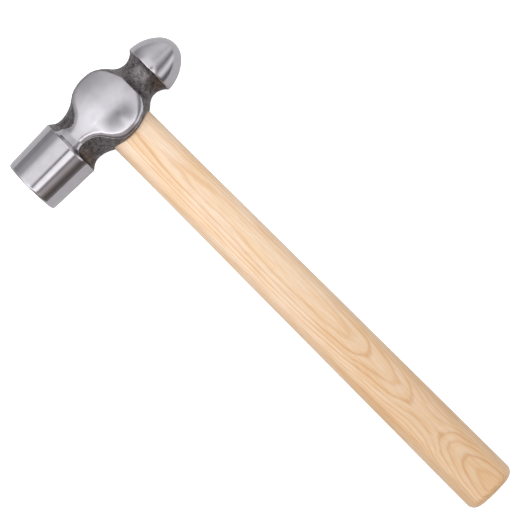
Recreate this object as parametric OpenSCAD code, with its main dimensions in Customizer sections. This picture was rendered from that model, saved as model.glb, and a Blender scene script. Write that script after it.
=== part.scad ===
// Ball peen hammer lying on its side, one solid per physical piece, in millimetres.
//
// Frame: the origin is the centre of the striking face. +Y runs along the head towards the
// ball, +X runs along the handle towards the butt, +Z comes up out of the cheek.
// The crown side of the head (where the tongue ends and the wedges go in) faces -X.

/* [Head] */

// Distance from the striking face to the tip of the ball
head_length = 129.8; // [125:0.1:140]
// Radius of the poll at the striking face
face_r = 19.7; // [19:0.1:20]
// Radius of the poll at its back edge
poll_r = 20.7; // [20.2:0.1:21]
// Distance from the striking face to the back edge of the poll
poll_length = 36.4; // [34:0.1:37.5]
// Rounding of the edge of the striking face
face_edge_r = 1.6; // [0.8:0.1:2.4]
// Distance from the striking face to the middle of the eye
eye_y = 71.4; // [70:0.1:73]
// Distance from the middle of the eye to the crown of the boss
crown = 24.9; // [24:0.1:26]
// Distance from the middle of the eye to the foot of the boss, at the handle
foot = 23.3; // [22.5:0.1:24]
// Half thickness of the boss between its two ground cheeks
cheek = 19.5; // [18.5:0.1:20.5]
// Radius of the ground cheeks across the head
cheek_r = 54; // [50:1:55]
// Distance from the middle of the eye to the highest line of the cheeks, towards the foot
cheek_shift = 4; // [3:0.5:4]

/* [Necks] */

// Distance from the striking face to the narrowest point of the poll neck
poll_neck_y = 43.6; // [43:0.1:45]
// Half width of the poll neck, flat to flat, in line with the handle
poll_neck = 16.9; // [15.8:0.1:17.6]
// Half thickness of the poll neck where it is ground with the cheeks
poll_neck_z = 15.8; // [15:0.1:16.5]
// Distance from the striking face to the narrowest point of the ball neck
ball_neck_y = 97.7; // [97:0.1:98.5]
// Half width of the ball neck, flat to flat
ball_neck = 13.1; // [12.5:0.1:14]

// How much fuller both necks are on the foot side than on the crown side
foot_fullness = 0.5; // [0:0.1:0.8]

/* [Ball] */

// Radius of the ball at its base
ball_r = 17.9; // [17.5:0.1:18.5]
// Distance from the striking face to the base of the ball
ball_base_y = 105.9; // [105:0.1:106.5]
// Radius of the long flank of the ball
flank_r = 28; // [26:0.5:30]

/* [Handle] */

// Distance from the middle of the eye to the butt end
butt_x = 345.2; // [250:0.1:400]
// Height of the handle section where it meets the head
neck_height = 32.5; // [32:0.1:33]
// Thickness of the handle section where it meets the head
neck_thickness = 22; // [21.5:0.1:23]
// Height of the handle section at the butt
butt_height = 36.4; // [34:0.1:40]
// Radius of the two narrow edges of the section where it meets the head
edge_r = 10; // [9.5:0.1:10.4]
// Rounding of the edge of the butt
butt_edge_r = 6; // [2:0.5:7]
// How far the tongue is shaved in from the handle surface
shave = 1.25; // [1:0.05:1.5]
// How far the eye and the wedged tongue open out at the crown
flare = 0.9; // [0.4:0.1:1.2]
// Gap between the handle and the lip of the eye at the foot
lip_gap = 0.3; // [0.1:0.05:0.5]

/* [Wedges] */

// Thickness of the wooden wedge at the crown
wood_wedge_top = 3.8; // [2.5:0.1:5]
// Thickness of the wooden wedge at its thin end
wood_wedge_tip = 1.2; // [0.8:0.1:1.6]
// Depth of the wooden wedge, measured from the middle of the eye towards the handle
wood_wedge_depth = 6; // [0:0.5:10]
// Width of each steel wedge
steel_wedge_width = 12; // [8:0.5:14]
// Thickness of each steel wedge at the crown
steel_wedge_top = 2.2; // [1.5:0.1:3]
// Thickness of each steel wedge at its thin end
steel_wedge_tip = 0.5; // [0.3:0.1:0.8]
// Depth of each steel wedge below the crown
steel_wedge_depth = 17; // [10:0.5:20]
// Distance of each steel wedge from the middle of the eye, along the head
steel_wedge_offset = 7.4; // [5:0.1:9]

/* [Hidden] */

$fn = 64;

// Bulge radii of the four forging outlines, and where each one crests
crown_bulge_r = 24.5;
foot_bulge_r = 38;
foot_y = eye_y - 2.5;
crown_corner = 27.5;
crown_corner_r = 21.5;
crown_neck_corner = 15.2;
foot_corner = 27.2;
foot_corner_r = 22;
foot_neck_corner = 14.2;
cheek_bulge_r = 70;
cheek_y = eye_y + 3;

// Height of the necks where they run into the poll and into the ball
poll_root = poll_r * cos(22.5) - 0.5;
ball_root = ball_r * cos(22.5) - 0.4;
spigot = 7;
spigot_h = 11;

// The side arcs stop this far short of where they touch the edge arcs
sector_inset = 1.5;

// Circles that should touch are crossed by this much, so the arcs trim each other cleanly
cross = 0.04;

// The oval section: two narrow edge arcs at +-edge_c and two side arcs struck from +-side_c.
// All arcs grow by the same amount, so they stay tangent along the whole handle.
edge_c = neck_height / 2 - edge_r;
side_rise = neck_thickness / 2 - edge_r;
side_k = (edge_c * edge_c + side_rise * side_rise) / (2 * side_rise);
side_c = side_k - side_rise;
tongue_r = edge_r - shave;
butt_r = edge_r + (butt_height - neck_height) / 2;

// Stations along the handle, from the middle of the eye
tongue_x = -27;
flare_x = -8;
taper_x = 12;
shoulder_x = 19.2;
eye_end = 40;
head_h = 60;

// Depth of the round cut that finishes the tongue and the wedges below the crown
crown_cut = 0.4;

// Radius of an arc that leaves a straight line and, over a run and a rise, touches a circle
function meet_r(run, rise, r) = (run * run + rise * rise) / (2 * rise) - r;

// ---------------------------------------------------------------- forging outlines

// A hollow with its lowest point at (y, depth) and a different radius on each side
module hollow(y, depth, r_poll_side, r_ball_side) {
    intersection() {
        translate([y, depth + r_poll_side])
            circle(r_poll_side);
        translate([y - r_poll_side, depth - 1])
            square([r_poll_side, 2 * r_poll_side + 2]);
    }
    intersection() {
        translate([y, depth + r_ball_side])
            circle(r_ball_side);
        translate([y, depth - 1])
            square([r_ball_side, 2 * r_ball_side + 2]);
    }
}

// One side of a forging outline above the head axis: poll neck, bulge, ball neck
module outline(crest, crest_y, bulge_r, neck_a, neck_b) {
    // Every outline ends at a different depth inside the poll and the ball
    stagger = crest / 60;
    root_a_r = meet_r(poll_neck_y - poll_length, poll_root - neck_a, 0);
    rise_a_r = meet_r(crest_y - poll_neck_y, crest - neck_a, bulge_r) + cross;
    rise_b_r = meet_r(ball_neck_y - crest_y, crest - neck_b, bulge_r) + cross;
    root_b_r = meet_r(ball_base_y - ball_neck_y, ball_root - neck_b, 0);
    touch_a = crest_y - (crest_y - poll_neck_y) * bulge_r / (bulge_r + rise_a_r);
    touch_b = crest_y + (ball_neck_y - crest_y) * bulge_r / (bulge_r + rise_b_r);

    translate([poll_length - spigot - stagger, 0])
        square([ball_base_y - poll_length + 2 * (spigot + stagger), spigot_h]);
    difference() {
        union() {
            translate([poll_length - stagger, 0])
                square([touch_a - poll_length + stagger, poll_r]);
            translate([touch_b, 0])
                square([ball_base_y - touch_b + stagger, ball_r]);
            intersection() {
                translate([crest_y, crest - bulge_r])
                    circle(bulge_r);
                translate([touch_a - 1, 0])
                    square([touch_b - touch_a + 2, crest + 1]);
            }
        }
        hollow(poll_neck_y, neck_a, root_a_r, rise_a_r);
        hollow(ball_neck_y, neck_b, rise_b_r, root_b_r);
    }
}

// The outline seen square to the cheek: crown above the axis, foot below it
module side_outline() {
    poll_foot = poll_neck + foot_fullness;
    ball_foot = ball_neck + foot_fullness;
    outline(crown, eye_y, crown_bulge_r, poll_neck, ball_neck);
    mirror([0, 1])
        outline(foot, foot_y, foot_bulge_r, poll_foot, ball_foot);
}

// The outline seen along a corner of the octagon
module corner_outline() {
    outline(crown_corner, eye_y, crown_corner_r, crown_neck_corner, ball_neck);
    mirror([0, 1])
        outline(foot_corner, eye_y + 1.5, foot_corner_r, foot_neck_corner, ball_neck);
}

// The ground cheek, from the poll neck over the boss to the edge above the ball neck
module cheek_outline() {
    root_a_r = meet_r(poll_neck_y - poll_length, poll_root - poll_neck_z, 0);
    rise_a_r = meet_r(cheek_y - poll_neck_y, cheek - poll_neck_z, cheek_bulge_r) + cross;
    root_b_r = meet_r(ball_base_y - ball_neck_y, ball_root - ball_neck, 0);
    touch_a = cheek_y - (cheek_y - poll_neck_y) * cheek_bulge_r / (cheek_bulge_r + rise_a_r);
    edge_b_r = 8;

    translate([poll_length - spigot, 0])
        square([ball_base_y - poll_length + 2 * spigot, spigot_h]);
    difference() {
        union() {
            translate([poll_length, 0])
                square([touch_a - poll_length, poll_r]);
            translate([ball_neck_y - 2, 0])
                square([ball_base_y - ball_neck_y + 2, ball_r]);
            intersection() {
                translate([cheek_y, cheek - cheek_bulge_r])
                    circle(cheek_bulge_r);
                translate([touch_a - 1, 0])
                    square([ball_neck_y - touch_a, cheek + 1]);
            }
        }
        hollow(poll_neck_y, poll_neck_z, root_a_r, rise_a_r);
        hollow(ball_neck_y, ball_neck, edge_b_r, root_b_r);
    }
}

// ---------------------------------------------------------------- head

module along_head(angle) {
    rotate([0, angle, 0])
        rotate([0, 0, 90])
            linear_extrude(height = 2 * head_h, center = true)
                children();
}

// Turns a flat (y, radius) shape around the head axis
module turned() {
    rotate([-90, 0, 0])
        rotate_extrude($fn = 96)
            mirror([1, -1])
                children();
}

// The cheek shape turned about a line far below the head axis, so the cheek is only gently round
module cheek_form(side) {
    drop = cheek_r - cheek;
    translate([cheek_shift, 0, -side * drop])
        turned() {
            translate([0, drop])
                cheek_outline();
            translate([poll_length - spigot, 0])
                square([ball_base_y - poll_length + 2 * spigot, drop + 1]);
        }
}

module poll() {
    turned()
        difference() {
            polygon([[0, 0], [0, face_r], [poll_length, poll_r], [poll_length, 0]]);
            difference() {
                translate([-1, face_r - face_edge_r])
                    square([face_edge_r + 1, face_edge_r + 2]);
                translate([face_edge_r, face_r - face_edge_r])
                    circle(face_edge_r);
            }
        }
}

// The ball: a long flank arc that runs into a tip arc, both turned about the head axis
module ball() {
    flank_y = ball_base_y;
    reach = head_length - flank_y;
    flank_c = flank_r - ball_r;
    // Tip arc that touches the flank arc from inside and ends at the tip
    tip_run = (flank_c * flank_c - (flank_r - reach) * (flank_r - reach))
        / (2 * (flank_r - reach));
    tip_r = reach - tip_run;
    turned()
        intersection() {
            translate([flank_y, 0])
                square([reach + 1, ball_r + 1]);
            union() {
                translate([flank_y + tip_run, 0])
                    circle(tip_r);
                intersection() {
                    translate([flank_y, -flank_c])
                        circle(flank_r);
                    polygon([
                        [flank_y, -flank_c],
                        [flank_y + tip_run * 3, flank_c * 2],
                        [flank_y, flank_c * 4]
                    ]);
                }
            }
        }
}

module forging() {
    intersection() {
        intersection() {
            cheek_form(1);
            cheek_form(-1);
            along_head(0)
                side_outline();
        }
        intersection() {
            along_head(45)
                corner_outline();
            along_head(-45)
                corner_outline();
        }
    }
}

// ---------------------------------------------------------------- handle and wedges

// Turns a flat (x, radius) shape about a line that runs along the handle
module turned_x() {
    rotate([0, 90, 0])
        rotate_extrude($fn = 96)
            mirror([1, -1])
                children();
}

// An oval bar from x_a to x_b; its child is the (x, radius) shape of the narrow edge.
// The broad sides are the same shape turned about lines side_c away, with $grow more radius.
module oval_bar(x_a, x_b) {
    for (side = [-1, 1])
        translate([0, eye_y + side * edge_c, 0])
            turned_x()
                let ($grow = 0)
                    children();
    intersection() {
        intersection() {
            translate([0, eye_y, -side_c])
                turned_x()
                    let ($grow = side_k)
                        children();
            translate([0, eye_y, side_c])
                turned_x()
                    let ($grow = side_k)
                        children();
        }
        translate([x_a - 1, eye_y, 0])
            rotate([90, 0, 90])
                linear_extrude(height = x_b - x_a + 2)
                    side_sector();
    }
}

// The stretch of the oval section that belongs to the two side arcs
module side_sector() {
    waist = edge_c - sector_inset;
    reach = 30;
    far = waist + edge_c * reach / side_c;
    polygon([
        [waist, 0],
        [far, reach],
        [-far, reach],
        [-waist, 0],
        [-far, -reach],
        [far, -reach]
    ]);
}

// Radius of the narrow edge of the tongue where it opens out towards the crown
function flared_r(x) = tongue_r + flare * (flare_x - x) / (flare_x + crown);

module handle_edge() {
    end_r = $grow + butt_r;
    difference() {
        polygon([
            [tongue_x, 0],
            [tongue_x, $grow + flared_r(tongue_x)],
            [flare_x, $grow + tongue_r],
            [taper_x, $grow + tongue_r],
            [shoulder_x, $grow + edge_r],
            [butt_x, end_r],
            [butt_x, 0]
        ]);
        difference() {
            translate([butt_x - butt_edge_r, end_r - butt_edge_r])
                square([butt_edge_r + 1, butt_edge_r + 1]);
            translate([butt_x - butt_edge_r, end_r - butt_edge_r])
                circle(butt_edge_r);
        }
    }
}

module tongue_edge() {
    polygon([
        [tongue_x, 0],
        [tongue_x, $grow + flared_r(tongue_x)],
        [flare_x, $grow + tongue_r],
        [taper_x, $grow + tongue_r],
        [taper_x, 0]
    ]);
}

// The eye follows the tongue and its taper, then stands clear of the handle at the foot
module eye_edge() {
    seat_x = shoulder_x - 1.5;
    seat_r = tongue_r + shave * (seat_x - taper_x) / (shoulder_x - taper_x);
    polygon([
        [-eye_end, 0],
        [-eye_end, $grow + flared_r(-eye_end)],
        [flare_x, $grow + tongue_r],
        [taper_x, $grow + tongue_r],
        [seat_x, $grow + seat_r],
        [shoulder_x - 0.6, $grow + edge_r + lip_gap],
        [eye_end, $grow + edge_r + lip_gap],
        [eye_end, 0]
    ]);
}

// Everything on the handle side of a round cut just below the crown
module below_crown() {
    intersection() {
        children();
        union() {
            translate([crown_bulge_r - crown, eye_y, 0])
                cylinder(r = crown_bulge_r - crown_cut, h = 2 * head_h, center = true);
            translate([0, -head_h, -head_h])
                cube([butt_x + head_h, 4 * head_h, 2 * head_h]);
        }
    }
}

// A flat taper along X: full thickness at the crown, thin end at x_tip, as a (x, thickness) shape
module taper(top, tip, x_tip) {
    lead = (top - tip) / 2 * (eye_end - crown) / (x_tip + crown);
    polygon([
        [-eye_end, top / 2 + lead],
        [x_tip, tip / 2],
        [x_tip, -tip / 2],
        [-eye_end, -top / 2 - lead]
    ]);
}

module wood_wedge_form() {
    translate([0, eye_y, 0])
        rotate([90, 0, 0])
            linear_extrude(height = head_h, center = true)
                taper(wood_wedge_top, wood_wedge_tip, wood_wedge_depth);
}

module steel_wedge_form(side) {
    translate([0, eye_y + side * steel_wedge_offset, 0])
        linear_extrude(height = steel_wedge_width, center = true)
            taper(steel_wedge_top, steel_wedge_tip, steel_wedge_depth - crown);
}

// ---------------------------------------------------------------- pieces

module hammer_head() {
    color([0.66, 0.66, 0.68])
        difference() {
            union() {
                poll();
                forging();
                ball();
            }
            oval_bar(-eye_end, eye_end)
                eye_edge();
        }
}

module handle() {
    color([0.91, 0.80, 0.62])
        difference() {
            below_crown()
                oval_bar(tongue_x, butt_x)
                    handle_edge();
            wood_wedge_form();
            steel_wedge_form(-1);
            steel_wedge_form(1);
        }
}

module wooden_wedge() {
    color([0.78, 0.62, 0.42])
        difference() {
            below_crown()
                intersection() {
                    oval_bar(tongue_x, taper_x)
                        tongue_edge();
                    wood_wedge_form();
                }
            steel_wedge_form(-1);
            steel_wedge_form(1);
        }
}

module steel_wedge(side) {
    color([0.5, 0.5, 0.52])
        below_crown()
            steel_wedge_form(side);
}

module steel_wedge_poll_side() {
    steel_wedge(-1);
}

module steel_wedge_ball_side() {
    steel_wedge(1);
}

hammer_head();
handle();
wooden_wedge();
steel_wedge_poll_side();
steel_wedge_ball_side();
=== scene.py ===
import math

import bmesh
import bpy
import numpy as np
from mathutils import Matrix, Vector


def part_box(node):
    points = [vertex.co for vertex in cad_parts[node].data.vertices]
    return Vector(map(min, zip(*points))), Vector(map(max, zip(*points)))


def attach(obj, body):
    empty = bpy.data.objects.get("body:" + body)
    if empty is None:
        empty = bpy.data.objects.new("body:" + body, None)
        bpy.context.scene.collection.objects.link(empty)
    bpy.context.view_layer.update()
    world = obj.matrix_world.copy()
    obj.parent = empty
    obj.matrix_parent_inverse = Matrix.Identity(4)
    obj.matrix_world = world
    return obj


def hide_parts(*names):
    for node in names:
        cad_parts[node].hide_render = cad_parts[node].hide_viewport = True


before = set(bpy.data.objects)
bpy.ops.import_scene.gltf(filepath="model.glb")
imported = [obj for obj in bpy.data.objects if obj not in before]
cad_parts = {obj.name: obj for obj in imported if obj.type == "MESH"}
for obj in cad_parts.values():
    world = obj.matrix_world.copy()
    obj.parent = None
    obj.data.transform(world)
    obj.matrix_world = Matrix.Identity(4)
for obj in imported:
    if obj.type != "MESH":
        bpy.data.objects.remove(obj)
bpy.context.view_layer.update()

MM = 0.001

# ------------------------------------------------------------------ sizes, in millimetres
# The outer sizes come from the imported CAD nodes, the rest are the design's own values.
# The origin is the middle of the striking face. x runs towards the butt, y towards the ball, z up.

HEAD_LOW, HEAD_HIGH = [np.array(corner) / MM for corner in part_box("hammer_head")]
HANDLE_LOW, HANDLE_HIGH = [np.array(corner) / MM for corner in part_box("handle")]

CROWN = -HEAD_LOW[0]
FOOT = HEAD_HIGH[0]
POLL_R = HEAD_HIGH[2]
HEAD_LENGTH = HEAD_HIGH[1]
BUTT_X = HANDLE_HIGH[0]
EYE_Y = (HANDLE_LOW[1] + HANDLE_HIGH[1]) / 2

# Poll: a round bar that widens a little from the striking face to its back edge
FACE_R = POLL_R - 1.0
FACE_EDGE_R = 1.6
POLL_END = 36.4
BACK_STEP = 0.4

# Ball: a long flank arc that runs into a round tip, behind a rounded lip
BALL_START = 105.9
BALL_R = 17.9
FLANK_R = 28.0
LIP_R = 0.9

# Necks: places and depths of their lowest points; the foot side is a little fuller
POLL_NECK_Y = 43.6
POLL_NECK = 16.9
BALL_NECK_Y = 97.7
BALL_NECK = 13.1
FOOT_FULLNESS = 0.5

# The hollows of the necks run out through the poll and through the lip of the ball
POLL_ROOT = POLL_R + 0.4
BALL_ROOT = BALL_R - 0.36 * LIP_R
SCALLOP = 3.0
SCALLOP_EDGE = 0.6

# Ground cheek: a long bulge, cut off by a hollow towards the ball neck
CHEEK = 19.5
CHEEK_Y = EYE_Y + 3.0
CHEEK_BULGE_R = 70.0
CHEEK_NECK = 15.8
CHEEK_EDGE_R = 8.0
# Lean of the ground cheek in degrees at places across the head, from the crown to the foot
CHEEK_LEAN = (
    (-30, -30), (-21, -24), (-15, -21), (-9, -17.5), (-4, -11.5), (0, -2), (2.5, 3.2), (5.6, 6.0),
    (10, 8.4), (14.4, 10.3), (17.3, 12), (19, 18), (21, 24), (30, 38),
)

# Bulges of the forging seen square to the cheek and along the corners of the octagon
CROWN_BULGE_R = 24.5
FOOT_BULGE_R = 38.0
FOOT_Y = EYE_Y - 2.5
CROWN_CORNER = 27.5
CROWN_CORNER_R = 21.5
CROWN_NECK_CORNER = 15.2
FOOT_CORNER = 27.2
FOOT_CORNER_R = 22.0
FOOT_CORNER_Y = EYE_Y + 1.5
FOOT_NECK_CORNER = 14.2

# Rounding between neighbouring faces of the forging, and the unevenness of its skin
GROUND_EDGE = 2.0
FORGED_EDGE = 3.0
HOLLOW_EDGE = 1.0
SKIN_WAVE = 0.09

# Oval of the handle: two narrow edge arcs and two broad side arcs
EDGE_C = 6.25
EDGE_R = 10.0
SIDE_RISE = 1.0
SIDE_K = (EDGE_C ** 2 + SIDE_RISE ** 2) / (2 * SIDE_RISE)
SIDE_C = SIDE_K - SIDE_RISE

# Handle along x: flared tongue, straight tongue, tapered seat, shoulder, swell to the butt
FLARE = 0.9
FLARE_X = -8.0
TONGUE_R = 8.75
TAPER_X = 12.0
SEAT_X = 17.7
SHOULDER_X = 19.2
BUTT_R = 11.95
BUTT_EDGE_R = 6.0

# Eye: room around the handle where it enters, and the easing of both mouths
LIP_GAP = 0.3
MOUTH_EASE = 0.45
MOUTH_SLOPE = 0.8

# Wedges as (thickness at the crown, thickness at the tip, x of the tip)
WOOD_WEDGE = (3.8, 1.2, 6.0)
STEEL_WEDGE = (2.2, 0.5, 17.0 - CROWN)
STEEL_WEDGE_WIDTH = 12.0
STEEL_WEDGE_OFFSET = 7.4
JOINT_GAP = 0.06
CROWN_CUT = 0.4
TRIM_EDGE = 0.12

# Points of the wooden wedge along one side and round one end
PLANK_SIDE = 33
PLANK_END = 5

# Growth layers of the ash, in layers a millimetre thick. Their height along the handle: they rise
# to the middle of the handle and dip towards the butt, which draws the arches on the broad sides.
# The two ends of the curve come first.
LAYER_HEIGHTS = (
    (0, -1.0), (345, 0.6), (52, 0.0), (120, 0.55), (180, 0.5), (210, 0.0), (228, -1.0), (252, -2.0),
    (266, -3.0), (280, -3.5), (293, -3.0), (301, -2.0), (314, -1.0), (327, 0.0),
)
LAYER_REACH = 400.0
LAYER_SHIFT = 5.0
LAYER_SPAN = 8.0
# Curvature of the layers across the handle, and how far off the middle their arches lie
LAYER_FLAT = 0.0165
LAYER_ARCH = 0.016
LAYER_CENTRE = (5.5, 2.0)
LAYER_TURN = (230.0, 310.0)

# ------------------------------------------------------------------ light levels
# Stops are (angle from straight up in degrees, level or colour).

# Round the head, from its crown side through straight up to its foot side
BOX_TONES = (
    (-180, 0.5), (-100, 0.34), (-82, 0.34), (-70, 0.46), (-56, 0.52), (-44, 0.92), (-32, 1.10),
    (0, 1.15), (4, 1.15), (12, 1.50), (32, 1.54), (36, (0.35, 0.32, 0.32)),
    (41, (0.33, 0.30, 0.30)), (49, (0.56, 0.51, 0.49)), (56, (0.45, 0.41, 0.39)),
    (66, (0.20, 0.18, 0.17)), (74, (0.12, 0.105, 0.095)), (84, (0.16, 0.14, 0.13)),
    (98, (0.41, 0.39, 0.38)), (180, 0.5),
)
# Round the ball, from its crown side to its foot side
FAR_TONES = (
    (-90, 0.5), (-58, 0.62), (-42, 0.52), (-36, 0.54), (-30, 0.64), (-25, 0.74), (-14, 0.84),
    (-6, 0.76), (1, 0.68), (6, 0.86), (11, 0.72), (16, 0.42), (21, 0.22), (26, 0.68), (31, 1.14),
    (35, 0.95), (41, 0.16), (47, 0.18), (55, 0.58), (62, 0.74), (90, 0.5),
)
# How far the soft boxes stand askew to the head, as x for each unit of y
BOX_SKEW = 0.25
# Direction from the head to the camera
TO_CAMERA_X = 0.134
TO_CAMERA_Z = 0.99


# ------------------------------------------------------------------ mesh helpers


def make_object(name, points, faces):
    """A smooth-shaded mesh object from points in millimetres, its faces turned outwards."""
    mesh = bpy.data.meshes.new(name)
    mesh.from_pydata((np.asarray(points) * MM).tolist(), [], faces)
    mesh.validate()
    shell = bmesh.new()
    shell.from_mesh(mesh)
    bmesh.ops.recalc_face_normals(shell, faces=shell.faces)
    shell.to_mesh(mesh)
    shell.free()
    mesh.shade_smooth()
    obj = bpy.data.objects.new(name, mesh)
    bpy.context.scene.collection.objects.link(obj)
    return obj


def tube_faces(rings, around, first_point=None, last_point=None):
    """Quads between rings of `around` points, with a fan to a single point at either end."""
    faces = []
    for ring in range(rings - 1):
        low, high = ring * around, (ring + 1) * around
        for i in range(around):
            j = (i + 1) % around
            faces.append((low + i, low + j, high + j, high + i))
    if first_point is not None:
        faces += [(first_point, (i + 1) % around, i) for i in range(around)]
    if last_point is not None:
        end = (rings - 1) * around
        faces += [(last_point, end + i, end + (i + 1) % around) for i in range(around)]
    return faces


def cut(obj, tool):
    """Cuts the tool out of an object with an exact boolean and removes the tool."""
    modifier = obj.modifiers.new("cut", "BOOLEAN")
    modifier.operation = "DIFFERENCE"
    modifier.solver = "EXACT"
    modifier.object = tool
    depsgraph = bpy.context.evaluated_depsgraph_get()
    mesh = bpy.data.meshes.new_from_object(obj.evaluated_get(depsgraph))
    obj.modifiers.clear()
    old = obj.data
    obj.data = mesh
    bpy.data.meshes.remove(old)
    bpy.data.objects.remove(tool)


def points_of(obj):
    """The object's points in millimetres."""
    flat = np.zeros(len(obj.data.vertices) * 3)
    obj.data.vertices.foreach_get("co", flat)
    return flat.reshape(-1, 3) / MM


def sharpen(obj, degrees):
    """Smooth shading everywhere but across edges sharper than this."""
    obj.data.set_sharp_from_angle(angle=math.radians(degrees))


# ------------------------------------------------------------------ head: the forging


def meet_radius(run, rise, radius):
    """Radius of an arc that leaves a straight line and touches a circle over a run and a rise."""
    return (run * run + rise * rise) / (2 * rise) - radius


def hollow(y, low_y, depth, radius):
    """Height of a round hollow with its lowest point at (low_y, depth)."""
    return depth + radius - np.sqrt(np.maximum(radius ** 2 - (y - low_y) ** 2, 0))


def bulge(y, top_y, top, radius):
    """Height of a round bulge with its highest point at (top_y, top)."""
    return top - radius + np.sqrt(np.maximum(radius ** 2 - (y - top_y) ** 2, 0))


def outline(y, crest, crest_y, bulge_r, neck_a, neck_b):
    """Height above the head axis of one forging outline: poll neck, bulge, ball neck."""
    root_a = meet_radius(POLL_NECK_Y - POLL_END, POLL_ROOT - neck_a, 0)
    rise_a = meet_radius(crest_y - POLL_NECK_Y, crest - neck_a, bulge_r)
    rise_b = meet_radius(BALL_NECK_Y - crest_y, crest - neck_b, bulge_r)
    root_b = meet_radius(BALL_START - BALL_NECK_Y, BALL_ROOT - neck_b, 0)
    touch_a = crest_y - (crest_y - POLL_NECK_Y) * bulge_r / (bulge_r + rise_a)
    touch_b = crest_y + (BALL_NECK_Y - crest_y) * bulge_r / (bulge_r + rise_b)
    return np.select(
        [y < POLL_NECK_Y, y < touch_a, y < touch_b, y < BALL_NECK_Y],
        [
            hollow(y, POLL_NECK_Y, neck_a, root_a),
            hollow(y, POLL_NECK_Y, neck_a, rise_a),
            bulge(y, crest_y, crest, bulge_r),
            hollow(y, BALL_NECK_Y, neck_b, rise_b),
        ],
        hollow(y, BALL_NECK_Y, neck_b, root_b),
    )


def cheek_outline(y):
    """Height of the ground cheek: it runs over the boss and stops above the ball neck."""
    root_a = meet_radius(POLL_NECK_Y - POLL_END, POLL_ROOT - CHEEK_NECK, 0)
    rise_a = meet_radius(CHEEK_Y - POLL_NECK_Y, CHEEK - CHEEK_NECK, CHEEK_BULGE_R)
    root_b = meet_radius(BALL_START - BALL_NECK_Y, BALL_ROOT - BALL_NECK, 0)
    touch_a = CHEEK_Y - (CHEEK_Y - POLL_NECK_Y) * CHEEK_BULGE_R / (CHEEK_BULGE_R + rise_a)
    return np.select(
        [y < POLL_NECK_Y, y < touch_a, y < BALL_NECK_Y],
        [
            hollow(y, POLL_NECK_Y, CHEEK_NECK, root_a),
            hollow(y, POLL_NECK_Y, CHEEK_NECK, rise_a),
            bulge(y, CHEEK_Y, CHEEK, CHEEK_BULGE_R),
        ],
        hollow(y, BALL_NECK_Y, BALL_NECK, root_b),
    )


def lean_drop(x):
    """How far the cheek falls away across the head, from its lean at each place."""
    samples = 400
    places, leans = np.array(CHEEK_LEAN, float).T
    fine = np.linspace(places[0], places[-1], samples)
    slope = np.tan(np.radians(np.interp(fine, places, leans)))
    fall = np.cumsum(slope) * (fine[1] - fine[0])
    return np.interp(x, fine, fall - np.interp(0.0, fine, fall))


def ball_side_end(y):
    """Height of the hollow that cuts the cheek off towards the ball neck."""
    clear_of_head = 60.0
    inside = y > BALL_NECK_Y - CHEEK_EDGE_R
    height = hollow(y, BALL_NECK_Y, BALL_NECK, CHEEK_EDGE_R)
    return np.where(inside & (y < BALL_NECK_Y), height, clear_of_head)


def smooth_max(a, b, width):
    """The larger of two distances, rounded where they come closer than width."""
    near = np.maximum(width - np.abs(a - b), 0) / width
    return np.maximum(a, b) + near * near * width / 4


def face_distance(value, height, y, *shape):
    """Distance to a face of the forging, scaled by the slope of its outline."""
    step = 0.05
    steepest = 4
    here = height(y, *shape)
    slope = (height(y + step, *shape) - here) / step
    return (value - here) / np.sqrt(1 + np.clip(slope, -steepest, steepest) ** 2)


def forging_faces(x, y, z):
    """Signed distances to the ground cheek and to the forged faces, for a point of the head."""
    z = np.abs(z)
    diagonal = math.sqrt(0.5)
    hollow_slope = 0.7
    drop = lean_drop(x)
    cheek = face_distance(z + drop, cheek_outline, y)
    end = (z + drop - ball_side_end(y)) * hollow_slope
    crown = face_distance(-x, outline, y, CROWN, EYE_Y, CROWN_BULGE_R, POLL_NECK, BALL_NECK)
    foot = face_distance(
        x, outline, y, FOOT, FOOT_Y, FOOT_BULGE_R, POLL_NECK + FOOT_FULLNESS, BALL_NECK + FOOT_FULLNESS
    )
    crown_corner = face_distance(
        (z - x) * diagonal, outline, y, CROWN_CORNER, EYE_Y, CROWN_CORNER_R, CROWN_NECK_CORNER, BALL_NECK
    )
    foot_corner = face_distance(
        (z + x) * diagonal,
        outline, y, FOOT_CORNER, FOOT_CORNER_Y, FOOT_CORNER_R, FOOT_NECK_CORNER, BALL_NECK,
    )
    forged = smooth_max(smooth_max(crown, crown_corner, FORGED_EDGE), foot_corner, FORGED_EDGE)
    forged = smooth_max(forged, foot, FORGED_EDGE)
    forged = smooth_max(forged, end, HOLLOW_EDGE)
    return cheek, forged


def ripple(x, y, z):
    """Slow unevenness of a forged surface, within about 1 either way."""
    return (
        np.sin(0.61 * x + 0.83 * y + 1.7) * np.sin(0.71 * z - 0.37 * y + 0.4)
        + np.sin(0.93 * y - 0.52 * z + 2.9) * np.sin(0.77 * x + 0.21 * y)
        + 0.5 * np.sin(1.71 * y + 1.13 * z) * np.sin(1.57 * x - 0.9 * z + 0.8)
    ) / 2.2


def forging(x, y, z):
    """Signed distance to the whole forging; forged faces are slightly uneven, the cheek is true."""
    cheek, forged = forging_faces(x, y, z)
    forged = forged + SKIN_WAVE + SKIN_WAVE * ripple(x, y, z)
    return smooth_max(cheek, forged, GROUND_EDGE)


def solve(function, low, high):
    """Where a rising function crosses zero between two bounds, for whole arrays."""
    halvings = 26
    for _ in range(halvings):
        middle = (low + high) / 2
        outside = function(middle) > 0
        high = np.where(outside, middle, high)
        low = np.where(outside, low, middle)
    return (low + high) / 2


# ------------------------------------------------------------------ head: stations along the axis


def rounded_corner(y, r, radius, start, end, steps):
    """Points of an arc about a corner's centre, angles in degrees from the head axis."""
    angles = np.radians(np.linspace(start, end, steps))
    return [(y + radius * math.cos(a), r + radius * math.sin(a)) for a in angles]


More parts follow.
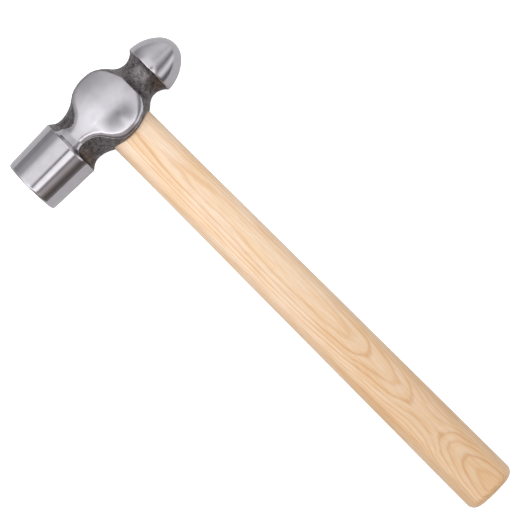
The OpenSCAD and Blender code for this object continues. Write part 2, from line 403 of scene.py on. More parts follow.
def poll_profile():
    """(y, radius) of the poll from the middle of the striking face to its back edge."""
    flat_r = FACE_R - FACE_EDGE_R
    points = [(0.0, flat_r * share) for share in (0.15, 0.35, 0.55, 0.72, 0.86, 0.95)]
    points += rounded_corner(FACE_EDGE_R, flat_r, FACE_EDGE_R, 180, 92, 12)
    run = POLL_END - FACE_EDGE_R - BACK_STEP
    steps = 29
    for step in range(1, steps + 1):
        y = FACE_EDGE_R + run * step / steps
        points.append((y, FACE_R + (POLL_R - FACE_R) * y / POLL_END))
    return points


def ball_profile():
    """(y, radius) of the ball from its lip to its tip: a flank arc that runs into a tip arc."""
    flank_c = FLANK_R - BALL_R
    reach = HEAD_LENGTH - BALL_START
    tip_run = (flank_c ** 2 - (FLANK_R - reach) ** 2) / (2 * (FLANK_R - reach))
    tip_r = reach - tip_run
    turn = math.atan2(tip_run, flank_c)
    lip_y = 0.8 * LIP_R
    lip_end = 1.6 * LIP_R
    points = rounded_corner(BALL_START + lip_y, BALL_R - LIP_R, LIP_R, 138, 94, 7)
    for angle in np.linspace(math.asin(lip_end / FLANK_R), turn, 40):
        points.append((BALL_START + FLANK_R * math.sin(angle), FLANK_R * math.cos(angle) - flank_c))
    for angle in np.linspace(turn, math.radians(88), 26)[1:]:
        points.append((BALL_START + tip_run + tip_r * math.sin(angle), tip_r * math.cos(angle)))
    return points


def head_blank():
    """The head before its eye is cut: rings of points turned about the head axis."""
    around = 300
    angle = np.linspace(0, 2 * math.pi, around, endpoint=False)
    across, up = np.sin(angle), np.cos(angle)
    inside, outside = 5.0, 40.0
    neck_y = np.concatenate([
        np.linspace(POLL_END, POLL_END + SCALLOP, 16)[:-1],
        np.linspace(POLL_END + SCALLOP, BALL_START, 165),
    ])
    y = np.repeat(neck_y[:, None], around, axis=1)
    low, high = np.full_like(y, inside), np.full_like(y, outside)
    radius = solve(lambda r: forging(r * across, y, r * up), low, high)
    radius = np.where(y < POLL_END + SCALLOP, -smooth_max(-radius, -POLL_R, SCALLOP_EDGE), radius)
    rings = [np.stack([r * across, np.full(around, at), r * up], 1) for at, r in poll_profile()]
    rings += [np.stack([r * across, row, r * up], 1) for row, r in zip(y, radius)]
    rings += [np.stack([r * across, np.full(around, at), r * up], 1) for at, r in ball_profile()]
    points = np.concatenate(rings + [[(0.0, 0.0, 0.0)], [(0.0, HEAD_LENGTH, 0.0)]])
    count = len(rings)
    faces = tube_faces(count, around, count * around, count * around + 1)
    return make_object("head", points, faces)


# ------------------------------------------------------------------ the oval of the handle and the eye


def oval(grow, around):
    """(y, z) of the oval section about the handle's middle, and its outward normals.

    An edge arc has a radius of `grow`, and a broad side arc has SIDE_K more.
    """
    angle = np.linspace(0, 2 * math.pi, around, endpoint=False)
    normal = np.stack([np.sin(angle), np.cos(angle)], 1)
    half = math.atan2(EDGE_C, SIDE_C)
    lean = np.abs((angle + math.pi / 2) % math.pi - math.pi / 2)
    broad = lean < half
    side = np.sign(normal)
    centre = np.where(broad[:, None], side * [0, -SIDE_C], side * [EDGE_C, 0])
    radius = np.where(broad, SIDE_K, 0) + grow
    return centre + normal * radius[:, None], normal


def flared_r(x):
    """Edge radius of the tongue and the eye where they open out towards the crown."""
    return TONGUE_R + FLARE * (FLARE_X - x) / (FLARE_X + CROWN)


def crown_top(y):
    """x of the cut that finishes the tongue and the wedges, y measured from the eye."""
    return CROWN_BULGE_R - CROWN - np.sqrt((CROWN_BULGE_R - CROWN_CUT) ** 2 - y ** 2)


def oval_ring(x, grow, around):
    """(x, y, z) of an oval section, where x and the growth may differ from point to point."""
    flat, normal = oval(0.0, around)
    flat = flat + normal * np.broadcast_to(grow, (around,))[:, None]
    return np.stack([np.broadcast_to(x, (around,)), flat[:, 0], flat[:, 1]], 1)


def surface_x(side, section):
    """x of the forging's surface over a section, on the crown side (-1) or the foot side (1)."""
    low, high = (10.0, 40.0) if side < 0 else (8.0, 40.0)
    count = len(section)
    y, z = EYE_Y + section[:, 0], section[:, 1]
    return side * solve(lambda x: forging(side * x, y, z), np.full(count, low), np.full(count, high))


def eye_tool():
    """The eye: flared at the crown, tapered at the foot, both mouths eased where they meet the surface."""
    around = 220
    beyond = 3.0
    seat_end = SEAT_X - 0.8
    lip_start = SHOULDER_X - 1.5
    x_crown = surface_x(-1, oval(flared_r(-CROWN), around)[0])
    x_foot = surface_x(1, oval(EDGE_R + LIP_GAP, around)[0])
    seat_r = TONGUE_R + (EDGE_R - TONGUE_R) * (seat_end - TAPER_X) / (SHOULDER_X - TAPER_X)
    lip_x = np.maximum(x_foot - MOUTH_EASE, lip_start + 0.1)
    rings = []
    for depth in (-beyond, 0.0, MOUTH_EASE * 0.5, MOUTH_EASE):
        grow = flared_r(x_crown) + max(MOUTH_EASE - depth, 0) * MOUTH_SLOPE
        rings.append(oval_ring(x_crown + depth, grow, around))
    rings.append(oval_ring(FLARE_X, TONGUE_R, around))
    rings.append(oval_ring(TAPER_X, TONGUE_R, around))
    rings.append(oval_ring(seat_end, seat_r, around))
    rings.append(oval_ring(lip_start, EDGE_R + LIP_GAP, around))
    rings.append(oval_ring(lip_x, EDGE_R + LIP_GAP, around))
    widest = EDGE_R + LIP_GAP + (MOUTH_EASE + beyond) * MOUTH_SLOPE
    rings.append(oval_ring(lip_x + MOUTH_EASE + beyond, widest, around))
    count = len(rings)
    ends = [(rings[0][:, 0].min() - beyond, 0, 0), (rings[-1][:, 0].max() + beyond, 0, 0)]
    points = np.concatenate(rings + [ends]) + [0, EYE_Y, 0]
    return make_object("eye_tool", points, tube_faces(count, around, count * around, count * around + 1))


def mark_finish(head):
    """Stores on each point how far it is ground bright (1) or left as forged (0).

    The grinding overruns the edge of the cheek: a little on the foot side, most beside the poll.
    """
    crown_overrun, foot_overrun, poll_overrun = 0.1, 0.9, 2.4
    softness = 0.12
    poll_skin = 0.15
    lip_edge = 0.02
    eye_room = 0.7
    eye_depth = 0.25
    x, y, z = points_of(head).T
    cheek, forged = forging_faces(x, y, z)
    near_poll = np.interp(y, (40, 46), (1, 0)) * np.interp(x, (-13, -10), (0, 1))
    overrun = np.where(x > 0, foot_overrun, crown_overrun + near_poll * poll_overrun)
    ground = 1 / (1 + np.exp(-(cheek - forged + overrun) / softness))
    ground = np.where(y > BALL_NECK_Y - CHEEK_EDGE_R, 0.0, ground)

    on_poll = (y < POLL_END + SCALLOP) & (np.hypot(x, z) > POLL_R - poll_skin)
    turned = (y < POLL_END - BACK_STEP) | on_poll | (y > BALL_START + lip_edge)
    ground = np.where(turned, 1.0, ground)

    in_eye = np.hypot(np.maximum(np.abs(y - EYE_Y) - EDGE_C, 0), z) < EDGE_R + eye_room
    below_skin = forging(x, y, z) < -eye_depth
    ground = np.where(in_eye & below_skin, 0.0, ground)
    layer = head.data.attributes.new("ground", "FLOAT", "POINT")
    layer.data.foreach_set("value", ground.astype(np.float32))


def hammer_head():
    """The forging with its eye, each point marked as ground or forged."""
    head = head_blank()
    cut(head, eye_tool())
    mark_finish(head)
    sharpen(head, 50)
    head.name = "forged_head"
    return head


# ------------------------------------------------------------------ handle and wedges


def handle_radius(x):
    """Edge radius of the handle at x: tongue, seat, then a slow swell to the butt."""
    tongue = np.where(x < FLARE_X, flared_r(x), TONGUE_R)
    seat = TONGUE_R + (EDGE_R - TONGUE_R) * np.clip((x - TAPER_X) / (SHOULDER_X - TAPER_X), 0, 1)
    swell = EDGE_R + (BUTT_R - EDGE_R) * (x - SHOULDER_X) / (BUTT_X - SHOULDER_X)
    return np.where(x < TAPER_X, tongue, np.where(x < SHOULDER_X, seat, swell))


def handle_blank():
    """The handle from the trimmed tongue to the rounded butt, before its wedge slots are cut."""
    around = 168
    rings = []
    edge = oval_ring(0.0, flared_r(-CROWN + CROWN_CUT), around)
    for share in (0.12, 0.25, 0.4, 0.55, 0.7, 0.82, 0.91, 0.97):
        ring = edge * [1, share, share]
        ring[:, 0] = crown_top(ring[:, 1])
        rings.append(ring)
    top_x = crown_top(edge[:, 1])
    rings.append(oval_ring(top_x + TRIM_EDGE, flared_r(top_x), around))
    shoulder = [SHOULDER_X + step for step in (-0.7, -0.2, 0.5)]
    for x in [-16.0, -12.0, FLARE_X, 0.0, TAPER_X, 15.0] + shoulder:
        rings.append(oval_ring(x, handle_radius(np.array(x)), around))
    straight_end = BUTT_X - BUTT_EDGE_R
    for x in np.linspace(SHOULDER_X + 2, straight_end, 150):
        rings.append(oval_ring(x, handle_radius(x), around))
    for angle in np.radians(np.linspace(7.5, 90, 12)):
        x = straight_end + BUTT_EDGE_R * math.sin(angle)
        rings.append(oval_ring(x, BUTT_R - BUTT_EDGE_R + BUTT_EDGE_R * math.cos(angle), around))
    last = rings[-1]
    for share in (0.85, 0.6, 0.35, 0.12):
        rings.append(last * [1, share, share])
    count = len(rings)
    points = np.concatenate(rings + [[(crown_top(0.0), 0, 0)], [(BUTT_X, 0, 0)]])
    points[:, 1] += EYE_Y
    return make_object("ash_handle", points, tube_faces(count, around, count * around, count * around + 1))


def taper_at(x, wedge):
    """Thickness of a wedge at x, running on straight beyond its top."""
    top, tip, tip_x = wedge
    return tip + (top - tip) * (tip_x - x) / (tip_x + CROWN)


def slot_tool(wedge, offset, half_width, along_head=False):
    """A tapered block that cuts a wedge's slot, a hair wider than the wedge."""
    beyond = 6
    tip_x = wedge[2] + JOINT_GAP
    start_x = -CROWN - beyond
    corners = []
    for x in (start_x, tip_x):
        half = taper_at(x, wedge) / 2 + JOINT_GAP
        for thick_side, wide_side in ((-1, -1), (1, -1), (1, 1), (-1, 1)):
            thick, wide = thick_side * half, wide_side * half_width
            y, z = (wide, thick) if along_head else (offset + thick, wide)
            corners.append((x, EYE_Y + y, z))
    faces = [(0, 1, 2, 3), (7, 6, 5, 4), (0, 4, 5, 1), (1, 5, 6, 2), (2, 6, 7, 3), (3, 7, 4, 0)]
    return make_object("slot", corners, faces)


def cut_steel_slots(obj):
    """Cuts the slots of both steel wedges."""
    for side in (-1, 1):
        cut(obj, slot_tool(STEEL_WEDGE, side * STEEL_WEDGE_OFFSET, STEEL_WEDGE_WIDTH / 2 + JOINT_GAP))


def ash_handle():
    """The handle with its kerf for the wooden wedge and the two slots of the steel wedges."""
    past_tongue = 40.0
    handle = handle_blank()
    cut(handle, slot_tool(WOOD_WEDGE, 0.0, past_tongue, along_head=True))
    cut_steel_slots(handle)
    sharpen(handle, 40)
    return handle


def wedge_loft(name, sections):
    """Closed loft through sections with the same number of points, capped by fans."""
    around = len(sections[0])
    count = len(sections)
    ends = [np.mean(sections[0], 0), np.mean(sections[-1], 0)]
    points = np.concatenate([np.concatenate(sections), ends])
    points = points + [0, EYE_Y, 0]
    return make_object(name, points, tube_faces(count, around, count * around, count * around + 1))


def block_ring(half_y, half_z, round_off):
    """(y, z) of a rectangle with rounded corners, as one ring."""
    steps = 4
    ring = []
    for quarter, (sy, sz) in enumerate(((1, 1), (-1, 1), (-1, -1), (1, -1))):
        for step in range(steps + 1):
            angle = (quarter + step / steps) * math.pi / 2
            ring.append((
                sy * (half_y - round_off) + round_off * math.cos(angle),
                sz * (half_z - round_off) + round_off * math.sin(angle),
            ))
    return np.array(ring)


def plank_ring(share, flat_x, below, inset):
    """Points around the wooden wedge, between its trimmed top (share 0) and a level x (share 1).

    `below` lowers the top and `inset` draws the ring in. Each round brings the points on the
    curved top closer to where the width of the tongue and the taper put them.
    """
    rounds = 4
    along = np.linspace(-1, 1, PLANK_SIDE)
    end = np.linspace(1, -1, PLANK_END + 2)[1:-1]
    u = np.concatenate([along, np.ones(PLANK_END), -along, -np.ones(PLANK_END)])
    v = np.concatenate([np.ones(PLANK_SIDE), end, -np.ones(PLANK_SIDE), -end])
    y = u * (EDGE_C + TONGUE_R)
    for _ in range(rounds):
        top = crown_top(y) + below
        x = top + (flat_x - top) * share
        z = v * (taper_at(x, WOOD_WEDGE) / 2 - inset)
        y = u * (EDGE_C + np.sqrt(handle_radius(x) ** 2 - z ** 2) - inset)
    return np.stack([x, y, z], 1)


def plank_cap(first):
    """Faces that close a ring of the wooden wedge, whose points start at this index."""
    far = first + PLANK_SIDE + PLANK_END
    near_side = [first + i for i in range(PLANK_SIDE)]
    far_side = [far + PLANK_SIDE - 1 - i for i in range(PLANK_SIDE)]
    faces = [
        (near_side[i], near_side[i + 1], far_side[i + 1], far_side[i]) for i in range(PLANK_SIDE - 1)
    ]
    faces.append([near_side[-1]] + [first + PLANK_SIDE + i for i in range(PLANK_END)] + [far_side[-1]])
    faces.append([far_side[0]] + [far + PLANK_SIDE + i for i in range(PLANK_END)] + [near_side[0]])
    return faces


def wooden_wedge():
    """The wooden wedge lies along the eye from edge to edge and is trimmed with the tongue."""
    level = -16.0
    tip_edge = 0.1
    tip_x = WOOD_WEDGE[2]
    sections = [plank_ring(0.0, level, 0.0, TRIM_EDGE)]
    sections += [plank_ring(share, level, TRIM_EDGE, 0.0) for share in (0.0, 0.25, 0.5, 0.75, 1.0)]
    sections += [plank_ring(1.0, x, 0.0, 0.0) for x in np.linspace(level, tip_x - tip_edge, 12)[1:]]
    sections.append(plank_ring(1.0, tip_x, 0.0, tip_edge))
    around = len(sections[0])
    faces = tube_faces(len(sections), around) + plank_cap(0) + plank_cap(around * (len(sections) - 1))
    wedge = make_object("wooden_wedge_split", np.concatenate(sections) + [0, EYE_Y, 0], faces)
    cut_steel_slots(wedge)
    sharpen(wedge, 35)
    return wedge


def steel_section(x, offset, inset, round_off):
    """One section of a steel wedge across the tongue."""
    half_thick = taper_at(x, STEEL_WEDGE) / 2 - inset
    ring = block_ring(half_thick, STEEL_WEDGE_WIDTH / 2 - inset, round_off)
    return np.stack([np.full(len(ring), x), ring[:, 0] + offset, ring[:, 1]], 1)


def steel_wedge(side, name):
    """A steel wedge with a trimmed, slightly burred top and a blunt thin end."""
    offset = side * STEEL_WEDGE_OFFSET
    tip_x = STEEL_WEDGE[2]
    sections = []
    for inset, below in ((0.18, 0.0), (0.04, 0.14)):
        section = steel_section(-CROWN, offset, inset, 0.15)
        section[:, 0] = crown_top(section[:, 1]) + below
        sections.append(section)
    sections += [steel_section(x, offset, 0.0, 0.15) for x in (-22.0, -19.0, -16.0, -12.0)]
    sections.append(steel_section(tip_x - 0.5, offset, 0.0, 0.1))
    sections.append(steel_section(tip_x, offset, 0.1, 0.1))
    wedge = wedge_loft(name, sections)
    sharpen(wedge, 35)
    return wedge


# ------------------------------------------------------------------ material helpers


class Graph:
    """A short way to build a node tree; values may be numbers, colours or output sockets."""

    def __init__(self, tree):
        self.tree = tree

    def node(self, kind, **settings):
        node = self.tree.nodes.new(kind)
        for key, value in settings.items():
            setattr(node, key, value)
        return node

    def plug(self, value, socket):
        if isinstance(value, bpy.types.NodeSocket):
            self.tree.links.new(value, socket)
        elif value is not None:
            socket.default_value = value

    def math(self, operation, a, b=None):
        node = self.node("ShaderNodeMath", operation=operation)
        self.plug(a, node.inputs[0])
        self.plug(b, node.inputs[1])
        return node.outputs[0]

    def mix(self, factor, a, b, blend="MIX"):
        node = self.node("ShaderNodeMix", data_type="RGBA", blend_type=blend)
        self.plug(factor, node.inputs[0])
        self.plug(a, node.inputs[6])
        self.plug(b, node.inputs[7])
        return node.outputs[2]

    def map_range(self, kind, *numbers):
        node = self.node("ShaderNodeMapRange", interpolation_type=kind)
        for socket, number in zip(node.inputs, numbers):
            self.plug(number, socket)
        return node.outputs[0]

    def smooth(self, value, low, high, to_low=0.0, to_high=1.0):
        """A value taken from low..high to to_low..to_high, easing in and out."""
        return self.map_range("SMOOTHSTEP", value, low, high, to_low, to_high)

    def share(self, value, low, high):
        """A value taken from low..high to 0..1 in a straight line."""
        return self.map_range("LINEAR", value, low, high, 0.0, 1.0)

    def parts(self, vector):
        """The x, y and z of a vector."""
        node = self.node("ShaderNodeSeparateXYZ")
        self.plug(vector, node.inputs[0])
        return node.outputs

    def stretch(self, vector, scale):
        node = self.node("ShaderNodeMapping")
        self.plug(vector, node.inputs["Vector"])
        node.inputs["Scale"].default_value = scale
        return node.outputs[0]

    def noise(self, vector, scale, detail, roughness=0.5):
        node = self.node("ShaderNodeTexNoise")
        self.plug(vector, node.inputs["Vector"])
        node.inputs["Scale"].default_value = scale
        node.inputs["Detail"].default_value = detail
        node.inputs["Roughness"].default_value = roughness
        return node.outputs["Fac"]

    def bump(self, height, strength, distance, normal=None):
        node = self.node("ShaderNodeBump")
        node.inputs["Strength"].default_value = strength
        node.inputs["Distance"].default_value = distance
        self.plug(height, node.inputs["Height"])
        self.plug(normal, node.inputs["Normal"])
        return node.outputs[0]


def shader(name, **constants):
    """A new material with its Principled shader, its graph and object coordinates in millimetres."""
    material = bpy.data.materials.new(name)
    material.use_nodes = True
    principled = material.node_tree.nodes["Principled BSDF"]
    for key, value in constants.items():
        principled.inputs[key.replace("_", " ")].default_value = value
    graph = Graph(material.node_tree)
    place = graph.node("ShaderNodeTexCoord").outputs["Object"]
    millimetres = graph.stretch(place, (1 / MM, 1 / MM, 1 / MM))
    return material, principled, graph, millimetres


def grey(level):
    """A linear grey."""
    return (level, level, level, 1)


def rgb(red, green, blue):
    """A linear colour from display values 0 to 255."""
    def channel(value):
        value = value / 255
        return value / 12.92 if value <= 0.04045 else ((value + 0.055) / 1.055) ** 2.4
    return (channel(red), channel(green), channel(blue), 1.0)


# ------------------------------------------------------------------ materials


def steel_material():
    """Bright ground steel and dark forging scale, told apart by the points' finish."""
    material, principled, g, place = shader("forged_steel", Metallic=1.0)
    finish = g.node("ShaderNodeAttribute", attribute_name="ground").outputs["Fac"]
    patchy = g.noise(place, 0.9, 4.0, 0.6)
    ragged = g.math("MULTIPLY", g.math("SUBTRACT", patchy, 0.5), 0.5)
    bright = g.smooth(g.math("ADD", finish, ragged), 0.3, 0.7)

    cloud = g.noise(place, 0.16, 3.0, 0.5)
    scratch = g.noise(g.stretch(place, (0.35, 6.0, 0.35)), 1.0, 3.0, 0.6)
    cross = g.noise(g.stretch(place, (5.0, 0.5, 2.0)), 1.0, 2.0, 0.6)
    ground_colour = g.mix(g.smooth(cloud, 0.3, 0.7), rgb(187, 184, 190), rgb(192, 189, 195))
    satin = g.smooth(g.parts(place)[1], POLL_END - 1, POLL_END + 2, 0.06, 0.11)
    ground_rough = g.math("ADD", satin, g.math("MULTIPLY", scratch, 0.1))

    speck = g.noise(place, 1.4, 4.0, 0.65)
    scale = g.noise(place, 0.35, 3.0, 0.6)
    dark = g.mix(g.smooth(scale, 0.3, 0.7), rgb(84, 79, 79), rgb(128, 124, 127))
    dark = g.mix(g.smooth(speck, 0.56, 0.7), dark, rgb(184, 181, 184))
    forged_rough = g.math("ADD", 0.24, g.math("MULTIPLY", scale, 0.28))

    g.plug(g.mix(bright, dark, ground_colour), principled.inputs["Base Color"])
    rough = g.node("ShaderNodeMix", data_type="FLOAT")
    g.plug(bright, rough.inputs[0])
    g.plug(forged_rough, rough.inputs[2])
    g.plug(ground_rough, rough.inputs[3])
    g.plug(rough.outputs[0], principled.inputs["Roughness"])

    lines = g.math("ADD", scratch, g.math("MULTIPLY", cross, 0.5))
    fine = g.math("MULTIPLY", lines, bright)
    pits = g.math("MULTIPLY", g.math("ADD", speck, scale), g.math("SUBTRACT", 1.0, bright))
    normal = g.bump(fine, 0.25, 0.00002)
    g.plug(g.bump(pits, 0.6, 0.00025, normal), principled.inputs["Normal"])
    return material


def growth_layers(g, x, y, z):
    """Distance through the growth layers, one a millimetre, measured up from the broad side."""
    curve = g.node("ShaderNodeFloatCurve")
    g.plug(g.math("DIVIDE", x, LAYER_REACH), curve.inputs["Value"])
    points = curve.mapping.curves[0].points
    for index, (at, height) in enumerate(LAYER_HEIGHTS):
        spot = (at / LAYER_REACH, (height + LAYER_SHIFT) / LAYER_SPAN)
        if index < 2:
            points[index].location = spot
        else:
            points.new(*spot)
    curve.mapping.update()
    rise = g.math("SUBTRACT", g.math("MULTIPLY", curve.outputs[0], LAYER_SPAN), LAYER_SHIFT)
    swell = (BUTT_R - EDGE_R) / (BUTT_X - SHOULDER_X)
    broad_side = g.math("ADD", EDGE_R + SIDE_RISE - swell * SHOULDER_X, g.math("MULTIPLY", x, swell))
    y_eye = g.math("SUBTRACT", y, EYE_Y)
    y_off = g.math("SUBTRACT", y_eye, g.smooth(x, *LAYER_TURN, *LAYER_CENTRE))
    flat = g.math("MULTIPLY", g.math("MULTIPLY", y_eye, y_eye), LAYER_FLAT)
    arch = g.math("MULTIPLY", g.math("MULTIPLY", y_off, y_off), LAYER_ARCH)
    bend = g.math("SUBTRACT", flat, arch)
    return g.math("ADD", g.math("ADD", g.math("SUBTRACT", z, broad_side), bend), rise)


def ash_material(name, light, band, line):
    """Flat-sawn lacquered ash: soft arches of growth layers, long fibres and short open pores."""
    material, principled, g, place = shader(name, Coat_Weight=1.0, Coat_Roughness=0.18, Coat_IOR=1.5)
    x, y, z = g.parts(place)

    slow = g.noise(g.stretch(place, (0.016, 0.08, 0.09)), 1.0, 1.0, 0.4)
    quick = g.noise(g.stretch(place, (0.06, 0.35, 0.35)), 1.0, 3.0, 0.6)
    above_zero = 50.0
    rings = g.math("ADD", growth_layers(g, x, y, z), above_zero)
    rings = g.math("ADD", rings, g.math("MULTIPLY", g.math("SUBTRACT", slow, 0.5), 0.8))
    rings = g.math("ADD", rings, g.math("MULTIPLY", g.math("SUBTRACT", quick, 0.5), 0.5))
    phase = g.math("FRACT", rings)
    ring = g.node("ShaderNodeCombineXYZ")
    g.plug(g.math("FLOOR", g.math("ADD", rings, 0.5)), ring.inputs[0])
    strength = g.smooth(g.noise(ring.outputs[0], 0.73, 0.0), 0.3, 0.7, 0.35, 1.0)
    patch = g.noise(g.stretch(place, (0.022, 0.13, 0.13)), 1.0, 2.0, 0.5)

    late = g.math("MAXIMUM", g.smooth(phase, 0.0, 0.28, 1.0, 0.0), g.smooth(phase, 0.74, 1.0))
    late = g.math("MULTIPLY", g.math("MULTIPLY", late, strength), g.smooth(patch, 0.3, 0.6, 0.5, 1.0))
    faint = g.math("SINE", g.math("MULTIPLY", rings, 19.0))
    faint = g.math("MULTIPLY", g.smooth(faint, -0.2, 1.0), g.smooth(patch, 0.4, 0.6, 0.3, 0.0))
    fade = g.smooth(phase, 0.0, 0.9, 1.0, 0.0)
    fibre = g.noise(g.stretch(place, (0.06, 1.5, 1.5)), 1.0, 4.0, 0.65)
    pore = g.noise(g.stretch(place, (0.3, 5.5, 5.5)), 1.0, 2.0, 0.6)
    pores = g.math("MULTIPLY", g.smooth(pore, 0.52, 0.68), g.math("ADD", 0.25, late))

    warm = g.mix(g.smooth(x, 40.0, 340.0), (0.93, 0.945, 0.97, 1), (0.73, 0.67, 0.575, 1))
    colour = g.mix(g.smooth(patch, 0.42, 0.66, 0.0, 0.7), light, band)
    colour = g.mix(g.math("MULTIPLY", fade, 0.5), colour, band)
    colour = g.mix(faint, colour, band)
    colour = g.mix(g.math("MULTIPLY", late, 0.75), colour, line)
    colour = g.mix(g.smooth(fibre, 0.42, 0.7, 0.0, 0.4), colour, line)
    colour = g.mix(g.math("MULTIPLY", pores, 0.35), colour, line)
    colour = g.mix(1.0, colour, warm, "MULTIPLY")
    g.plug(colour, principled.inputs["Base Color"])
    g.plug(g.math("ADD", 0.42, g.math("MULTIPLY", fibre, 0.2)), principled.inputs["Roughness"])
    relief = g.math("SUBTRACT", g.math("MULTIPLY", fibre, 0.4), pores)
    g.plug(g.bump(relief, 0.3, 0.00006), principled.inputs["Normal"])
    return material


def table_material():
    """Plain grey table top, hidden from the camera."""
    material, principled, g, place = shader("studio_table", Roughness=0.9)
    tooth = g.noise(place, 0.15, 2.0, 0.5)
    g.plug(g.mix(tooth, grey(0.67), grey(0.69)), principled.inputs["Base Color"])
    return material


def floor_material():
    """Plain pale sheet with a faint tooth."""
    material, principled, g, place = shader("studio_sheet", Roughness=0.9)
    principled.inputs["Emission Color"].default_value = grey(1)
    principled.inputs["Emission Strength"].default_value = 0.8
    tooth = g.noise(place, 0.15, 2.0, 0.5)
    g.plug(g.mix(tooth, grey(0.93), grey(0.95)), principled.inputs["Base Color"])
    return material


# ------------------------------------------------------------------ studio


def flat_sheet(name, x_range, y_range, z, material):
    """A subdivided flat sheet in millimetres."""
    steps = 12
    xs, ys = np.linspace(*x_range, steps), np.linspace(*y_range, steps)
    points = [(a, b, z) for a in xs for b in ys]
    faces = [
        (i * steps + j, (i + 1) * steps + j, (i + 1) * steps + j + 1, i * steps + j + 1)
        for i in range(steps - 1)
        for j in range(steps - 1)
    ]
    sheet = make_object(name, points, faces)
    sheet.data.materials.append(material)
    return sheet


def studio_floor():
    """A white floor that the camera sees, and the grey table top that the steel reflects."""
    clearance = 0.02
    table_drop = 0.5
    far = 3000
    low = HEAD_LOW[2] - clearance
    floor = flat_sheet("floor", (-far, far), (-far, far), low, floor_material())
    floor.visible_glossy = False
    floor.visible_diffuse = False
    table = flat_sheet("table_top", (-165, 560), (-500, 640), low - table_drop, table_material())
    table.visible_camera = False
    table.visible_shadow = False


def tone_ramp(g, value, low, high, stops):
    """A grey or nearly grey colour that follows a value, from (value, level or colour) stops."""
    ramp = g.node("ShaderNodeValToRGB")
    g.plug(g.share(value, low, high), ramp.inputs[0])
    elements = ramp.color_ramp.elements
    while len(elements) < len(stops):
        elements.new(0.5)
    for element, (at, level) in zip(elements, stops):
        element.position = (at - low) / (high - low)
        element.color = (*level, 1) if isinstance(level, tuple) else grey(level)
    return ramp.outputs[0]


def lobe(g, value, centre, width):
    """1 at the centre of a band and falling smoothly to 0 beside it."""
    off = g.math("DIVIDE", g.math("SUBTRACT", value, centre), width)
    return g.math("EXPONENT", g.math("MULTIPLY", g.math("MULTIPLY", off, off), -1.0))


def sky_angle(g, along, z):
    """Angle from straight up, in degrees, of a direction's part in one upright plane."""
    return g.math("MULTIPLY", g.math("ARCTAN2", along, z), 180 / math.pi)


def box_light(g, x, y, z):
    """Two long soft boxes along the head, with a slanted strip light beside the handle."""
    across = sky_angle(g, g.math("SUBTRACT", x, g.math("MULTIPLY", y, BOX_SKEW)), z)
    boxes = tone_ramp(g, across, -180, 180, BOX_TONES)
    along = sky_angle(g, g.math("MULTIPLY", y, -1.0), z)
    slant = g.math("ADD", along, g.math("MULTIPLY", x, 118.0))
    strip = g.math("MULTIPLY", lobe(g, slant, 25.0, 4.5), g.smooth(along, 4.0, 10.0))
    strip = g.math("MULTIPLY", strip, g.smooth(z, 0.6, 0.8))
    strip_tone = g.mix(g.smooth(x, -0.06, -0.03), grey(3.4), grey(1.3))
    glow = g.mix(g.smooth(y, -0.3, -0.12), grey(1.22), grey(1.0))
    return g.mix(strip, g.mix(1.0, boxes, glow, "MULTIPLY"), strip_tone)


def box_gap(g, x, y, z):
    """How dark the gap between the soft boxes is; it is narrower where the poll reflects it."""
    off_poll = g.math("ABSOLUTE", g.math("ADD", y, 0.05))
    width = g.smooth(off_poll, 0.03, 0.08, 3.4, 6.4)
    centre = g.smooth(off_poll, 0.03, 0.08, 8.3, 10.4)
    depth = g.math("MULTIPLY", g.smooth(off_poll, 0.03, 0.08, 1.0, 0.75), g.smooth(y, -0.56, -0.26))
    depth = g.math("MULTIPLY", depth, g.smooth(y, 0.11, 0.34, 1.0, 0.0))
    skew = g.math("MULTIPLY", g.math("MINIMUM", g.math("MAXIMUM", y, -0.09), 0.0), BOX_SKEW)
    beside = sky_angle(g, g.math("SUBTRACT", x, skew), z)
    return g.math("MULTIPLY", lobe(g, beside, centre, width), depth)


def far_light(g, x, z):
    """The wall beyond the ball with its bright strip, and the angle that its tones follow."""
    meridian = sky_angle(g, g.math("ADD", x, TO_CAMERA_X), g.math("ADD", z, TO_CAMERA_Z))
    return tone_ramp(g, meridian, -90, 90, FAR_TONES), meridian


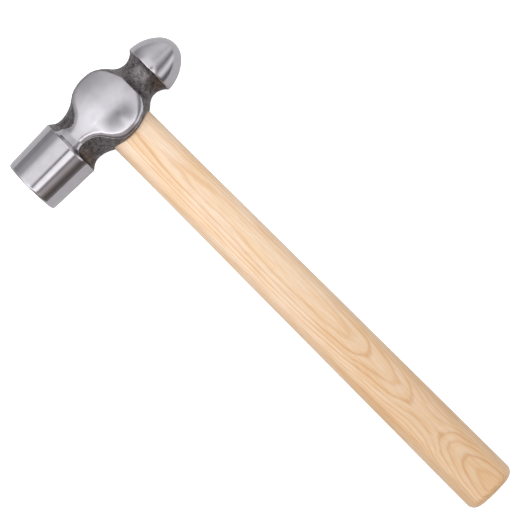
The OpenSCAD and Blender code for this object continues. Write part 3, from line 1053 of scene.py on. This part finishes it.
def studio_sky():
    """A photographer's tent over the hammer, as light by direction.

    Two long soft boxes run along the head with a narrow gap between them, so most of the light
    depends on the angle from straight up towards the butt. Beyond the ball a dimmer wall with one
    bright strip takes over, and a slanted strip light over the poll's side of the handle shows as
    a soft streak in the lacquer.
    """
    world = bpy.data.worlds.new("studio")
    bpy.context.scene.world = world
    world.use_nodes = True
    g = Graph(world.node_tree)
    x, y, z = g.parts(g.node("ShaderNodeTexCoord").outputs["Generated"])
    near = g.mix(box_gap(g, x, y, z), box_light(g, x, y, z), grey(0.0))
    far, meridian = far_light(g, x, z)
    start = g.smooth(g.math("ABSOLUTE", meridian), 12.0, 24.0, 0.14, 0.0)
    span = g.smooth(meridian, 6.0, 14.0, 0.45, 0.2)
    beyond = g.smooth(g.math("SUBTRACT", y, start), 0.0, span)
    background = world.node_tree.nodes["Background"]
    g.plug(g.mix(beyond, near, far), background.inputs["Color"])
    background.inputs["Strength"].default_value = 1.12


def fill_light():
    """A faint wide sun that lifts the wood; the steel doesn't reflect it."""
    fill = bpy.data.lights.new("fill", "SUN")
    fill.energy = 0.6
    fill.angle = math.radians(80)
    lamp = bpy.data.objects.new("fill", fill)
    lamp.rotation_euler = (math.radians(-12), math.radians(-8), 0)
    lamp.visible_glossy = False
    bpy.context.scene.collection.objects.link(lamp)


def studio_camera():
    """Straight down, with the handle running from the upper left to the lower right."""
    height = 1000.0
    aim_from_eye = (135.72, -0.97)
    turn = 44.99
    picture_width = 331.3
    camera = bpy.data.cameras.new("camera")
    camera.sensor_width = 36.0
    camera.lens = camera.sensor_width * height / picture_width
    camera.clip_start = 0.05
    camera.clip_end = 20.0
    obj = bpy.data.objects.new("camera", camera)
    obj.location = (aim_from_eye[0] * MM, (EYE_Y + aim_from_eye[1]) * MM, height * MM)
    obj.rotation_euler = (0, 0, math.radians(turn))
    bpy.context.scene.collection.objects.link(obj)
    bpy.context.scene.camera = obj


# ------------------------------------------------------------------ put together


def place_piece(obj, material, node):
    """Gives a piece its material and slot, in place of the CAD node that it shows."""
    obj.data.materials.clear()
    obj.data.materials.append(material)
    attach(obj, "root")
    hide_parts(node)


def build():
    """Makes the five pieces, each in place of its CAD node."""
    steel = steel_material()
    ash = ash_material(
        "ash_wood", light=rgb(246, 222, 196), band=rgb(240, 201, 154), line=rgb(214, 156, 96)
    )
    wedge_wood = ash_material(
        "wedge_wood", light=rgb(214, 178, 130), band=rgb(190, 148, 100), line=rgb(150, 108, 66)
    )
    place_piece(hammer_head(), steel, "hammer_head")
    place_piece(ash_handle(), ash, "handle")
    place_piece(wooden_wedge(), wedge_wood, "wooden_wedge")
    place_piece(steel_wedge(-1, "steel_wedge_near_poll"), steel, "steel_wedge_poll_side")
    place_piece(steel_wedge(1, "steel_wedge_near_ball"), steel, "steel_wedge_ball_side")


bpy.context.scene.view_settings.view_transform = "Standard"
studio_floor()
studio_sky()
fill_light()
studio_camera()
build()
